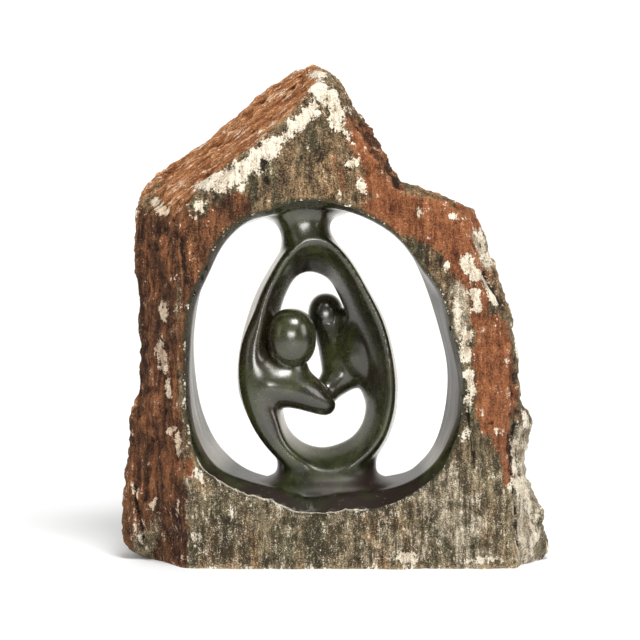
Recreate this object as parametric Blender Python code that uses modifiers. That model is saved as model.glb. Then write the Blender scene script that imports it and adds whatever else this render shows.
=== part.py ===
"""Soapstone sculpture: a rough block, pierced by an egg-shaped opening that holds two figures.

The block keeps its natural skin. The carver opened it from front to back and left, standing in the
opening, a polished ring that is hollowed like a leaf-shaped bowl. The ring's two sides are the backs
of two embracing figures with plain oval heads: the left one leans to the front, the right one to the
back. Block, ring and figures are one piece of stone, so they are one object here.

Metres, +Z up. The front faces -Y, and the origin is on the ground under the middle of the block.
"""

import math

import bmesh
import bpy
import numpy as np
from mathutils import Matrix, Vector, noise

# Sizes of the block
STONE_HEIGHT = 0.360
STONE_DEPTH = 0.104

# Sizes and place of the opening. Its centre stands this far above the ground and beside the middle.
OPENING_HEIGHT = 0.218
OPENING_CENTRE_X = -0.0075
OPENING_CENTRE_Z = 0.148
SIDE_CHAMFER = 0.0028
SILL_CHAMFER = 0.0100
CHAMFER_RUN = 0.0100

# The ring from its front ridge to its back ridge
FIGURE_DEPTH = 0.064

# Fineness of the carved surfaces and of the finished solid
STONE_GRAIN = 0.0040
CARVING_GRAIN = 0.0018
STONE_TRIANGLES = 3000
CARVING_TRIANGLES = 5600
FIGURE_SMOOTHING = 16
CARVING_SMOOTHING = 6

# The block's outline, clockwise from the lower left, as (x, z) in shares of the block's height.
# The last two points lie under the ground, where the flat underside cuts them off.
SILHOUETTE = [
    (-0.376, 0.004), (-0.421, 0.025), (-0.431, 0.057), (-0.427, 0.139), (-0.415, 0.278),
    (-0.396, 0.334), (-0.398, 0.371), (-0.392, 0.434), (-0.405, 0.603), (-0.406, 0.683),
    (-0.397, 0.730), (-0.364, 0.783), (-0.303, 0.824), (-0.242, 0.872), (-0.194, 0.922),
    (-0.137, 0.971), (-0.079, 1.007), (-0.032, 1.000), (0.000, 0.970), (0.034, 0.918),
    (0.069, 0.868), (0.102, 0.803), (0.129, 0.761), (0.178, 0.742), (0.227, 0.723),
    (0.272, 0.708), (0.298, 0.667), (0.319, 0.580), (0.349, 0.501), (0.345, 0.467),
    (0.367, 0.414), (0.370, 0.325), (0.395, 0.284), (0.390, 0.247), (0.375, 0.215),
    (0.384, 0.163), (0.421, 0.107), (0.430, 0.024), (0.415, 0.001), (0.395, -0.050),
    (-0.350, -0.050),
]

# The edge of the front face, as (x, z, run): run is how far behind the front the side face ends,
# in shares of the block's depth. The left flank and the top slope lie back the furthest.
FRONT_EDGE = [
    (-0.300, -0.050, 0.42), (-0.289, 0.097, 0.42), (-0.291, 0.233, 0.40), (-0.303, 0.331, 0.38),
    (-0.309, 0.447, 0.36), (-0.309, 0.564, 0.36), (-0.305, 0.659, 0.40), (-0.273, 0.737, 0.60),
    (-0.193, 0.791, 0.66), (-0.142, 0.834, 0.66), (-0.096, 0.879, 0.66), (-0.057, 0.920, 0.60),
    (-0.032, 0.951, 0.40), (-0.012, 0.939, 0.25), (0.050, 0.853, 0.14), (0.083, 0.789, 0.12),
    (0.114, 0.745, 0.10), (0.223, 0.710, 0.08), (0.254, 0.692, 0.10), (0.283, 0.601, 0.15),
    (0.320, 0.494, 0.12), (0.341, 0.406, 0.10), (0.343, 0.350, 0.14), (0.338, 0.300, 0.26),
    (0.334, 0.183, 0.32), (0.345, 0.076, 0.35), (0.360, -0.050, 0.35),
]
STONE_CENTRE = (0.0, 0.400)
BACK_EDGE_SHARE = 0.92
BACK_RUN = 0.20

# Slopes of the front face: a place and a direction, both (x, z), then how much it falls back.
FRONT_FACETS = [
    ((0.110, 0.560), (0.75, 0.66), 0.16),
    ((-0.050, 0.760), (0.00, 1.00), 0.14),
    ((0.300, 0.200), (1.00, 0.10), 0.20),
]

# The broken skin: wide bumps, and chips with sharp ridges between them
BUMP_LENGTH = 0.040
BUMP_HEIGHT = 0.0035
CHIP_LENGTH = 0.014
CHIP_HEIGHT = 0.0016
CHIP_LEVEL = 0.25

# Everything carved is in shares of the opening's height, from the opening's centre.
# The opening's front rim, clockwise from the top, as (x, z)
RIM = [
    (-0.079, 0.500), (0.050, 0.490), (0.156, 0.453), (0.250, 0.388), (0.322, 0.292),
    (0.384, 0.200), (0.416, 0.072), (0.444, -0.060), (0.446, -0.140), (0.436, -0.217),
    (0.381, -0.346), (0.297, -0.426), (0.185, -0.471), (0.040, -0.492), (-0.063, -0.500),
    (-0.166, -0.465), (-0.272, -0.426), (-0.368, -0.371), (-0.426, -0.265), (-0.447, -0.130),
    (-0.447, 0.024), (-0.431, 0.169), (-0.387, 0.275), (-0.333, 0.378), (-0.256, 0.449),
    (-0.169, 0.474),
]

# The opening's wall near the back face, clockwise from the upper left
BACK_WALL = [
    (-0.235, 0.470), (-0.085, 0.498), (0.097, 0.512), (0.215, 0.476), (0.293, 0.369),
    (0.346, 0.262), (0.398, 0.103), (0.429, -0.037), (0.425, -0.167), (0.393, -0.293),
    (0.337, -0.373), (0.252, -0.419), (-0.015, -0.440), (-0.235, -0.415), (-0.358, -0.328),
    (-0.424, -0.202), (-0.452, -0.054), (-0.454, 0.093), (-0.421, 0.261), (-0.344, 0.408),
]

# The ring's edges: its outermost line, its front ridge, and the waist of the hole in it
RING_CENTRE = (-0.020, -0.030)
OUTER_LINE = [
    (-0.055, 0.406), (0.009, 0.400), (0.081, 0.338), (0.149, 0.225), (0.204, 0.121),
    (0.239, -0.011), (0.250, -0.116), (0.240, -0.212), (0.194, -0.316), (0.108, -0.396),
    (0.002, -0.423), (-0.093, -0.399), (-0.178, -0.327), (-0.242, -0.245), (-0.287, -0.143),
    (-0.296, -0.055), (-0.283, 0.053), (-0.244, 0.185), (-0.194, 0.284), (-0.133, 0.370),
]
FRONT_RIDGE = [
    (-0.054, 0.379), (0.012, 0.381), (0.087, 0.297), (0.156, 0.174), (0.201, 0.055),
    (0.218, -0.076), (0.208, -0.180), (0.175, -0.272), (0.090, -0.354), (-0.011, -0.369),
    (-0.080, -0.334), (-0.130, -0.282), (-0.155, -0.207), (-0.185, -0.141), (-0.218, -0.076),
    (-0.224, 0.006), (-0.208, 0.101), (-0.191, 0.186), (-0.138, 0.298), (-0.090, 0.361),
]
WAIST = [
    (-0.047, 0.278), (0.010, 0.254), (0.046, 0.196), (0.076, 0.118), (0.110, 0.036),
    (0.136, -0.065), (0.133, -0.190), (0.102, -0.257), (0.047, -0.291), (-0.019, -0.303),
    (-0.086, -0.277), (-0.127, -0.225), (-0.140, -0.155), (-0.161, -0.065), (-0.164, 0.036),
    (-0.142, 0.156), (-0.121, 0.217), (-0.092, 0.262),
]
BACK_RIDGE_SHARE = 0.20

# Limbs as rows of (x, z, depth, radius). Depth is in shares of the ring's depth, behind its middle.
LEFT_BACK = [
    (-0.220, 0.140, -0.37, 0.018), (-0.234, 0.085, -0.35, 0.030), (-0.241, 0.025, -0.32, 0.045),
    (-0.234, -0.045, -0.30, 0.056), (-0.226, -0.110, -0.30, 0.060), (-0.207, -0.190, -0.32, 0.052),
    (-0.181, -0.252, -0.34, 0.044), (-0.142, -0.312, -0.37, 0.034), (-0.096, -0.364, -0.40, 0.025),
]
LEFT_ARM = [
    (-0.180, -0.098, -0.27, 0.076), (-0.121, -0.104, -0.28, 0.065), (-0.061, -0.124, -0.27, 0.058),
    (-0.018, -0.152, -0.25, 0.047), (0.003, -0.162, -0.22, 0.040),
]
LEFT_NECK = [(-0.121, 0.021, -0.24, 0.053), (-0.110, -0.070, -0.26, 0.072)]
RIGHT_BACK = [
    (0.094, 0.189, 0.14, 0.027), (0.122, 0.104, 0.18, 0.048), (0.135, 0.018, 0.20, 0.061),
    (0.144, -0.045, 0.20, 0.061), (0.192, -0.152, 0.20, 0.046), (0.186, -0.261, 0.20, 0.036),
]
RIGHT_SHOULDER = [
    (0.062, 0.130, 0.30, 0.040), (0.078, 0.070, 0.28, 0.062), (0.092, 0.000, 0.24, 0.075),
    (0.104, -0.045, 0.22, 0.066),
]
RIGHT_ARM = [
    (0.118, -0.036, 0.18, 0.068), (0.050, -0.060, 0.16, 0.068), (0.015, -0.102, 0.12, 0.056),
    (0.006, -0.134, 0.04, 0.041),
]
RIGHT_NECK = [(0.009, 0.104, 0.30, 0.053), (0.038, 0.036, 0.28, 0.060), (0.054, -0.020, 0.24, 0.070)]

# Heads: centre (x, z), depth in shares of the ring's depth, then half width, thickness and height
LEFT_HEAD = (-0.110, 0.061, -0.31, 0.082, 0.084, 0.098)
RIGHT_HEAD = (0.005, 0.133, 0.36, 0.062, 0.070, 0.080)
HEAD_SQUARENESS = 2.25

# The neck above the ring and the foot below it, as rows of (z, left x, right x, half depth)
TOP_NECK = [
    (0.310, -0.110, 0.050, 0.030), (0.345, -0.145, 0.060, 0.085), (0.374, -0.146, 0.047, 0.128),
    (0.404, -0.143, 0.026, 0.134), (0.431, -0.153, 0.016, 0.130), (0.451, -0.168, 0.016, 0.130),
    (0.471, -0.213, 0.039, 0.136), (0.488, -0.287, 0.096, 0.148), (0.525, -0.400, 0.220, 0.170),
    (0.600, -0.420, 0.300, 0.180),
]
FOOT = [
    (-0.320, -0.120, 0.120, 0.030), (-0.345, -0.160, 0.178, 0.085), (-0.372, -0.156, 0.171, 0.140),
    (-0.395, -0.162, 0.176, 0.151), (-0.409, -0.187, 0.198, 0.157), (-0.422, -0.237, 0.248, 0.172),
    (-0.450, -0.330, 0.330, 0.188), (-0.486, -0.355, 0.359, 0.190), (-0.560, -0.400, 0.390, 0.200),
]
POST_SQUARENESS = 0.55

# Points round a post. The opening and the ring have twice as many, the block four times.
ROUND_COUNT = 72
HEAD_SEGMENTS = 28
HEAD_RINGS = 16
LIMB_RESOLUTION = 5


def start_clean():
    """Remove whatever the scene holds."""
    for obj in list(bpy.data.objects):
        bpy.data.objects.remove(obj)


def new_object(name, mesh, collection):
    """Link a mesh into a collection as a new object."""
    obj = bpy.data.objects.new(name, mesh)
    collection.objects.link(obj)
    return obj


def settle(obj):
    """Turn an object into a plain mesh with its modifiers applied and its place in its points."""
    bpy.context.view_layer.update()
    graph = bpy.context.evaluated_depsgraph_get()
    mesh = bpy.data.meshes.new_from_object(obj.evaluated_get(graph))
    mesh.transform(obj.matrix_world)
    settled = new_object(obj.name + "_settled", mesh, obj.users_collection[0])
    bpy.data.objects.remove(obj)
    return settled


def smooth_loop(points, steps=8):
    """Points along the smooth closed curve through the given points (a Catmull-Rom spline)."""
    rows = np.array(points, float)
    before, after, beyond = (np.roll(rows, shift, axis=0) for shift in (1, -1, -2))
    made = []
    for i in range(len(rows)):
        for t in np.arange(steps) / steps:
            made.append(0.5 * (2 * rows[i] + (after[i] - before[i]) * t
                        + (2 * before[i] - 5 * rows[i] + 4 * after[i] - beyond[i]) * t ** 2
                        + (3 * rows[i] - before[i] - 3 * after[i] + beyond[i]) * t ** 3))
    return np.array(made)


def straight_loop(points, steps=8):
    """Points along the straight sides of a closed outline."""
    rows = np.array(points, float)
    after = np.roll(rows, -1, axis=0)
    return np.array([a + (b - a) * t for a, b in zip(rows, after) for t in np.arange(steps) / steps])


def by_angle(loop, centre, count):
    """The loop's values at equal angles round a centre. The first two values of a row are x and z."""
    x, z = loop[:, 0] - centre[0], loop[:, 1] - centre[1]
    angles = np.arctan2(z, x)
    radius = np.hypot(x, z)
    wanted = np.arange(count) * 2 * math.pi / count
    sampled = [np.interp(wanted, angles, column, period=2 * math.pi)
               for column in (radius, *loop.T[2:])]
    x = centre[0] + sampled[0] * np.cos(wanted)
    z = centre[1] + sampled[0] * np.sin(wanted)
    return np.column_stack([x, z, *sampled[1:]])


def loft(name, loops, collection, ring=False):
    """A closed body through loops of equally many points: a tube with two ends, or a closed ring."""
    mesh = bpy.data.meshes.new(name)
    bm = bmesh.new()
    rows = [[bm.verts.new(point) for point in loop] for loop in loops]
    count = len(rows[0])
    pairs = list(zip(rows, rows[1:]))
    if ring:
        pairs.append((rows[-1], rows[0]))
    for near, far in pairs:
        for i in range(count):
            j = (i + 1) % count
            bm.faces.new((near[i], near[j], far[j], far[i]))
    if not ring:
        bm.faces.new(rows[0])
        bm.faces.new(rows[-1])
    bmesh.ops.recalc_face_normals(bm, faces=bm.faces)
    bmesh.ops.triangulate(bm, faces=[f for f in bm.faces if len(f.verts) > 4])
    bm.to_mesh(mesh)
    bm.free()
    return new_object(name, mesh, collection)


def modify(obj, kind, **settings):
    """Add a modifier with these settings."""
    modifier = obj.modifiers.new(kind.title(), kind)
    for key, value in settings.items():
        setattr(modifier, key, value)


def combine(obj, others, operation):
    """Cut or join other meshes into an object, one after another, and drop them."""
    for other in others:
        modify(obj, "BOOLEAN", operation=operation, object=other, solver="EXACT")
        obj = settle(obj)
        bpy.data.objects.remove(other)
    return obj


def thinned(obj, triangles):
    """Reduce a mesh to about this many triangles."""
    bm = bmesh.new()
    bm.from_mesh(obj.data)
    bmesh.ops.triangulate(bm, faces=bm.faces)
    bm.to_mesh(obj.data)
    count = len(bm.faces)
    bm.free()
    modify(obj, "DECIMATE", ratio=min(1.0, triangles / count))
    return settle(obj)


def on_stone(rows, depth):
    """Rows of (x, z) shares of the block's height as points, at one depth or at one each."""
    depths = np.broadcast_to(depth, len(rows))
    return [Vector((x * STONE_HEIGHT, y, z * STONE_HEIGHT))
            for (x, z), y in zip(rows[:, :2], depths)]


def in_opening(x, z, y):
    """A point from its shares of the opening's height, at a depth in metres."""
    return Vector((OPENING_CENTRE_X + x * OPENING_HEIGHT, y, OPENING_CENTRE_Z + z * OPENING_HEIGHT))


def fall_back(point):
    """How far the front face's slopes push a point of it back."""
    total = 0.0
    for (x, z), (along_x, along_z), slope in FRONT_FACETS:
        ahead = ((point.x - x * STONE_HEIGHT) * along_x + (point.z - z * STONE_HEIGHT) * along_z)
        total += slope * max(0.0, ahead)
    return total


def roughen(obj):
    """Give a mesh the slopes of the front face, and the bumps and chips of broken stone."""
    bm = bmesh.new()
    bm.from_mesh(obj.data)
    bm.normal_update()
    moves = []
    for vert in bm.verts:
        bump = noise.noise(vert.co / BUMP_LENGTH) * BUMP_HEIGHT
        chip = (abs(noise.noise(vert.co / CHIP_LENGTH)) - CHIP_LEVEL) * CHIP_HEIGHT
        frontness = min(1.0, max(0.0, 0.5 - vert.co.y / STONE_DEPTH))
        shift = Vector((0.0, fall_back(vert.co) * frontness, 0.0))
        moves.append(vert.normal * (bump - chip) + shift)
    for vert, move in zip(bm.verts, moves):
        vert.co += move
    bm.to_mesh(obj.data)
    bm.free()


def stone_block(collection):
    """The whole rough block, before anything is carved, with its flat underside."""
    count = 4 * ROUND_COUNT
    outline = by_angle(straight_loop(SILHOUETTE), STONE_CENTRE, count)
    edge = by_angle(straight_loop(FRONT_EDGE), STONE_CENTRE, count)
    centre = np.array(STONE_CENTRE)
    back = centre + (outline - centre) * BACK_EDGE_SHARE
    front = -STONE_DEPTH / 2
    block = loft("block", [
        on_stone(edge, front),
        on_stone(outline, front + edge[:, 2] * STONE_DEPTH),
        on_stone(outline, STONE_DEPTH / 2 - BACK_RUN * STONE_DEPTH),
        on_stone(back, STONE_DEPTH / 2),
    ], collection)
    modify(block, "REMESH", mode="VOXEL", voxel_size=STONE_GRAIN)
    block = settle(block)
    roughen(block)
    return flat_underside(thinned(block, STONE_TRIANGLES))


def flat_underside(block):
    """Cut a block off at the ground and close it there."""
    bm = bmesh.new()
    bm.from_mesh(block.data)
    everything = bm.verts[:] + bm.edges[:] + bm.faces[:]
    bmesh.ops.bisect_plane(bm, geom=everything, plane_co=(0, 0, 0), plane_no=(0, 0, 1), clear_inner=True)
    rim = [edge for edge in bm.edges if edge.is_boundary]
    bmesh.ops.holes_fill(bm, edges=rim)
    bmesh.ops.triangulate(bm, faces=bm.faces)
    bmesh.ops.recalc_face_normals(bm, faces=bm.faces)
    bm.to_mesh(block.data)
    bm.free()
    return block


def drawn_in(loop, y, amount):
    """One section of the opening: a loop drawn in towards its centre, most at the sill."""
    points = []
    for x, z in loop[:, :2]:
        length = math.hypot(x, z)
        sill = max(0.0, -z / length) ** 3
        drawn = amount * (SIDE_CHAMFER + (SILL_CHAMFER - SIDE_CHAMFER) * sill)
        share = 1 - drawn / (length * OPENING_HEIGHT)
        points.append(in_opening(x * share, z * share, y))
    return points


def opening_body(collection):
    """The egg-shaped tunnel through the block, chamfered at both faces."""
    rim, wall = (by_angle(smooth_loop(line), (0.0, 0.0), 2 * ROUND_COUNT) for line in (RIM, BACK_WALL))
    face = STONE_DEPTH / 2
    return loft("opening", [
        drawn_in(rim, -face - 2 * CHAMFER_RUN, -2), drawn_in(rim, -face, 0),
        drawn_in(rim, -face + CHAMFER_RUN, 1), drawn_in(wall, face - CHAMFER_RUN, 0),
        drawn_in(wall, face, -1), drawn_in(wall, face + 2 * CHAMFER_RUN, -3),
    ], collection)


def ring_body(collection):
    """The ring, lofted round through its outer line, front ridge, waist and back ridge."""
    outer, ridge, waist = (by_angle(smooth_loop(line), RING_CENTRE, 2 * ROUND_COUNT)
                           for line in (OUTER_LINE, FRONT_RIDGE, WAIST))
    back = outer + (waist - outer) * BACK_RIDGE_SHARE
    half = FIGURE_DEPTH / 2
    return loft("ring", [
        [in_opening(x, z, y) for x, z in line]
        for line, y in ((outer, 0.0), (ridge, -half), (waist, 0.0), (back, half))
    ], collection, ring=True)


def limb(name, rows, collection):
    """A tapering round limb with rounded ends, through rows of (x, z, depth, radius)."""
    curve = bpy.data.curves.new(name, "CURVE")
    curve.dimensions = "3D"
    curve.bevel_depth = 1.0
    curve.bevel_resolution = LIMB_RESOLUTION
    curve.use_fill_caps = True
    spline = curve.splines.new("NURBS")
    spline.points.add(len(rows) - 1)
    spline.order_u = min(4, len(rows))
    spline.use_endpoint_u = True
    made = []
    for point, (x, z, depth, radius) in zip(spline.points, rows):
        place = in_opening(x, z, depth * FIGURE_DEPTH)
        point.co = (*place, 1.0)
        point.radius = radius * OPENING_HEIGHT
    tube = bpy.data.objects.new(name, curve)
    collection.objects.link(tube)
    made.append(settle(tube))
    for x, z, depth, radius in (rows[0], rows[-1]):
        made.append(oval(name, in_opening(x, z, depth * FIGURE_DEPTH), (radius * OPENING_HEIGHT,) * 3,
                         collection))
    return made


def oval(name, centre, halves, collection):
    """An ellipsoid of these half sizes."""
    mesh = bpy.data.meshes.new(name)
    bm = bmesh.new()
    bmesh.ops.create_uvsphere(bm, u_segments=HEAD_SEGMENTS, v_segments=HEAD_RINGS, radius=1.0)
    bmesh.ops.scale(bm, verts=bm.verts, vec=halves)
    bmesh.ops.translate(bm, verts=bm.verts, vec=centre)
    bm.to_mesh(mesh)
    bm.free()
    return new_object(name, mesh, collection)


def head(name, row, collection):
    """One plain head: an oval drawn out a little towards a box."""
    x, z, depth, *halves = row
    ball = oval(name, (0, 0, 0), (1, 1, 1), collection)
    for vert in ball.data.vertices:
        total = sum(abs(value) ** HEAD_SQUARENESS for value in vert.co)
        side = vert.co / total ** (1 / HEAD_SQUARENESS) * OPENING_HEIGHT
        vert.co = in_opening(x, z, depth * FIGURE_DEPTH) + side * Vector(halves)
    return ball


def post(name, rows, collection):
    """A flared post that joins the ring to the stone, through rows of (z, left x, right x, half depth)."""
    loops = []
    for z, left, right, half in rows:
        loop = []
        for i in range(ROUND_COUNT):
            angle = 2 * math.pi * i / ROUND_COUNT
            wide = math.copysign(abs(math.cos(angle)) ** POST_SQUARENESS, math.cos(angle))
            deep = math.copysign(abs(math.sin(angle)) ** POST_SQUARENESS, math.sin(angle))
            x = (left + right) / 2 + (right - left) / 2 * wide
            loop.append(in_opening(x, z, half * deep * OPENING_HEIGHT))
        loops.append(loop)
    return loft(name, loops, collection)


def joined(objects, name, collection):
    """Several closed meshes as one object, still overlapping."""
    bm = bmesh.new()
    for obj in objects:
        bm.from_mesh(obj.data)
        bpy.data.objects.remove(obj)
    mesh = bpy.data.meshes.new(name)
    bmesh.ops.remove_doubles(bm, verts=bm.verts, dist=1e-6)
    bm.to_mesh(mesh)
    bm.free()
    return new_object(name, mesh, collection)


def carved_space(collection):
    """The space the carver emptied: the opening less the ring, the figures, the neck and the foot."""
    pieces = [ring_body(collection), post("top_neck", TOP_NECK, collection), post("foot", FOOT, collection)]
    for name, rows in (("left_back", LEFT_BACK), ("left_arm", LEFT_ARM), ("left_neck", LEFT_NECK),
                       ("right_back", RIGHT_BACK), ("right_shoulder", RIGHT_SHOULDER),
                       ("right_arm", RIGHT_ARM), ("right_neck", RIGHT_NECK)):
        pieces += limb(name, rows, collection)
    figures = joined(pieces, "figures", collection)
    modify(figures, "REMESH", mode="VOXEL", voxel_size=CARVING_GRAIN)
    modify(figures, "SMOOTH", factor=0.5, iterations=FIGURE_SMOOTHING)
    figures = settle(figures)
    space = combine(opening_body(collection), [figures], "DIFFERENCE")
    modify(space, "REMESH", mode="VOXEL", voxel_size=CARVING_GRAIN)
    modify(space, "SMOOTH", factor=0.5, iterations=CARVING_SMOOTHING)
    return thinned(settle(space), CARVING_TRIANGLES)


def centre(mesh):
    """Bring the middle of a mesh's box over the origin."""
    points = np.array([vert.co for vert in mesh.vertices])
    middle = (points.min(axis=0) + points.max(axis=0)) / 2
    mesh.transform(Matrix.Translation((-middle[0], -middle[1], 0.0)))


def stone_material():
    """The stone's overall colour: a dark green, waxed where it is carved."""
    material = bpy.data.materials.new("soapstone")
    material.use_nodes = True
    shader = material.node_tree.nodes["Principled BSDF"]
    shader.inputs["Base Color"].default_value = (0.13, 0.10, 0.07, 1.0)
    shader.inputs["Roughness"].default_value = 0.6
    shader.inputs["Metallic"].default_value = 0.0
    return material


def main():
    """Build the sculpture as one closed object."""
    start_clean()
    sculpture = bpy.data.collections.new("soapstone_sculpture")
    helpers = bpy.data.collections.new("carving_helpers")
    for collection in (sculpture, helpers):
        bpy.context.scene.collection.children.link(collection)
    block = stone_block(helpers)
    block = combine(block, [carved_space(helpers)], "DIFFERENCE")
    heads = [head("left_head", LEFT_HEAD, helpers), head("right_head", RIGHT_HEAD, helpers)]
    block = combine(block, heads, "UNION")
    carved = new_object("sculpture", block.data, sculpture)
    bpy.data.objects.remove(block)
    centre(carved.data)
    carved.data.materials.clear()
    carved.data.materials.append(stone_material())
    carved.data.shade_smooth()
    carved.data.set_sharp_from_angle(angle=math.radians(40))


main()
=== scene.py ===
"""Looks of the soapstone sculpture: the broken skin of the block and the polish of the carving.

The whole stone is carved again here from the same sizes as the solid, with a far finer surface, and
this one piece stands in for the solid. Its rough skin and its polished opening, ring and figures
carry two finishes. All places are in metres, with +Z up and the front towards -Y.
"""

from __future__ import annotations

import logging
import math
from dataclasses import dataclass, field
from enum import Enum

import bmesh
import bpy
import numpy as np
from mathutils import Euler, Matrix, Vector, noise
from mathutils.kdtree import KDTree


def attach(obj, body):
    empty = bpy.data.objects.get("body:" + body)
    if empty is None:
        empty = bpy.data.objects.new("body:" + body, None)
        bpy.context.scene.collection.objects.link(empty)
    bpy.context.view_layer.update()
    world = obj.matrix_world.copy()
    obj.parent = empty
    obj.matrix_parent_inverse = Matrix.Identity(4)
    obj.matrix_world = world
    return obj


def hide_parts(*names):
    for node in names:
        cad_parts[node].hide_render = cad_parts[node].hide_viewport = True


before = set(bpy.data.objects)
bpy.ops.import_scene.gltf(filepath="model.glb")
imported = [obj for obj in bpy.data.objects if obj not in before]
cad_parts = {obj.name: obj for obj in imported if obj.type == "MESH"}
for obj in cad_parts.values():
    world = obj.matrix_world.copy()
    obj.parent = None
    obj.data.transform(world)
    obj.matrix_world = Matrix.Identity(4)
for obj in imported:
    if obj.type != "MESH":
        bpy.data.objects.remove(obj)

log = logging.getLogger("sculpture")

Pair = tuple[float, float]
Triple = tuple[float, float, float]
Colour = tuple[float, float, float, float]
Rows = tuple[tuple[float, ...], ...]

# A length too short to matter
TINY = 1e-9
# The way the long slope at the block's upper left faces, as (x, z)
SLOPE_FACING: Pair = (-0.6, 0.8)


class Skin(Enum):
    """Which finish a face carries. The value is its material index."""

    ROUGH = 0
    POLISHED = 1


class Joining(Enum):
    """How one mesh is combined with another."""

    CUT = "DIFFERENCE"
    JOIN = "UNION"


# Making and combining meshes


def mesh_object(name: str, mesh: bpy.types.Mesh) -> bpy.types.Object:
    """Link a mesh into the scene as a new object.

    Args:
        name: the object's name.
        mesh: its mesh.

    Returns:
        The object.
    """
    obj = bpy.data.objects.new(name, mesh)
    bpy.context.scene.collection.objects.link(obj)
    return obj


def finished(bm: bmesh.types.BMesh, name: str) -> bpy.types.Object:
    """Write a bmesh into a new object and free it.

    Args:
        bm: the bmesh.
        name: the object's name.

    Returns:
        The object.
    """
    mesh = bpy.data.meshes.new(name)
    bm.to_mesh(mesh)
    bm.free()
    return mesh_object(name, mesh)


def modify(obj: bpy.types.Object, kind: str, **settings: object) -> None:
    """Add a modifier to an object.

    Args:
        obj: the object.
        kind: the modifier's type.
        settings: its properties.
    """
    modifier = obj.modifiers.new(kind.title(), kind)
    for key, value in settings.items():
        setattr(modifier, key, value)


def settle(obj: bpy.types.Object) -> bpy.types.Object:
    """Replace an object by a plain mesh that has its modifiers applied.

    Args:
        obj: the object, which is removed.

    Returns:
        The new object.
    """
    bpy.context.view_layer.update()
    graph = bpy.context.evaluated_depsgraph_get()
    mesh = bpy.data.meshes.new_from_object(obj.evaluated_get(graph))
    name = obj.name
    bpy.data.objects.remove(obj)
    return mesh_object(name, mesh)


def thinned(obj: bpy.types.Object, triangles: int) -> bpy.types.Object:
    """Reduce a mesh to about this many triangles, most where it is flat.

    Args:
        obj: the object, which is replaced.
        triangles: how many triangles stay.

    Returns:
        The reduced object.
    """
    bm = bmesh.new()
    bm.from_mesh(obj.data)
    bmesh.ops.triangulate(bm, faces=bm.faces)
    bm.to_mesh(obj.data)
    share = triangles / len(bm.faces)
    bm.free()
    modify(obj, "DECIMATE", ratio=min(1.0, share))
    return settle(obj)


def combine(obj: bpy.types.Object, other: bpy.types.Object, joining: Joining) -> bpy.types.Object:
    """Cut another mesh out of an object, or join it on, and drop the other.

    Args:
        obj: the object that is changed.
        other: the mesh that cuts or joins it.
        joining: which of the two.

    Returns:
        The combined object.
    """
    modify(obj, "BOOLEAN", operation=joining.value, object=other, solver="EXACT", material_mode="INDEX")
    obj = settle(obj)
    bpy.data.objects.remove(other)
    return obj


def split_caps(bm: bmesh.types.BMesh) -> None:
    """Split the faces with more than four corners into triangles."""
    bmesh.ops.triangulate(bm, faces=[face for face in bm.faces if len(face.verts) > 4])


def smooth_loop(points: Rows, steps: int = 10) -> np.ndarray:
    """Points along the smooth closed curve through the given points.

    Args:
        points: the points of the loop, as (x, z).
        steps: how many points each stretch gets.

    Returns:
        One row for each point.
    """
    rows = np.array(points, float)
    before, after, beyond = (np.roll(rows, shift, axis=0) for shift in (1, -1, -2))
    made = []
    for i in range(len(rows)):
        for t in np.arange(steps) / steps:
            made.append(0.5 * (2 * rows[i] + (after[i] - before[i]) * t
                        + (2 * before[i] - 5 * rows[i] + 4 * after[i] - beyond[i]) * t ** 2
                        + (3 * rows[i] - before[i] - 3 * after[i] + beyond[i]) * t ** 3))
    return np.array(made)


def straight_loop(points: Rows, steps: int = 8) -> np.ndarray:
    """Points along the straight sides of a closed outline.

    Args:
        points: the outline's corners, each with x and z first.
        steps: how many points each side gets.

    Returns:
        One row for each point.
    """
    rows = np.array(points, float)
    after = np.roll(rows, -1, axis=0)
    return np.array([a + (b - a) * t for a, b in zip(rows, after) for t in np.arange(steps) / steps])


def by_angle(loop: np.ndarray, centre: Pair, count: int) -> np.ndarray:
    """The loop's values at equal angles round a centre.

    Args:
        loop: rows with x and z first.
        centre: the (x, z) that the angles are measured round.
        count: how many rows to make.

    Returns:
        The new rows.
    """
    x, z = loop[:, 0] - centre[0], loop[:, 1] - centre[1]
    angles = np.arctan2(z, x)
    wanted = np.arange(count) * 2 * math.pi / count
    radius, *others = [np.interp(wanted, angles, column, period=2 * math.pi)
                       for column in (np.hypot(x, z), *loop.T[2:])]
    x, z = centre[0] + radius * np.cos(wanted), centre[1] + radius * np.sin(wanted)
    return np.column_stack([x, z, *others])


def loft(bm: bmesh.types.BMesh, sections: list[list[Vector]], closed: bool = False) -> None:
    """Bridge circles of vertices that are moved onto sections of a body.

    Args:
        bm: the bmesh that the body is added to.
        sections: one list of points for each section, all of one length.
        closed: whether the last section joins the first, as in a ring.
    """
    rims = []
    for section in sections:
        verts = bmesh.ops.create_circle(bm, segments=len(section), radius=1.0)["verts"]
        for vert, point in zip(verts, section):
            vert.co = point
        rims.append(list({edge for vert in verts for edge in vert.link_edges}))
    faces = []
    pairs = list(zip(rims, rims[1:])) + ([(rims[-1], rims[0])] if closed else [])
    for near, far in pairs:
        faces += bmesh.ops.bridge_loops(bm, edges=near + far)["faces"]
    if not closed:
        faces += bmesh.ops.contextual_create(bm, geom=rims[0])["faces"]
        faces += bmesh.ops.contextual_create(bm, geom=rims[-1])["faces"]
    bmesh.ops.recalc_face_normals(bm, faces=faces)


# The rough block


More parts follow.
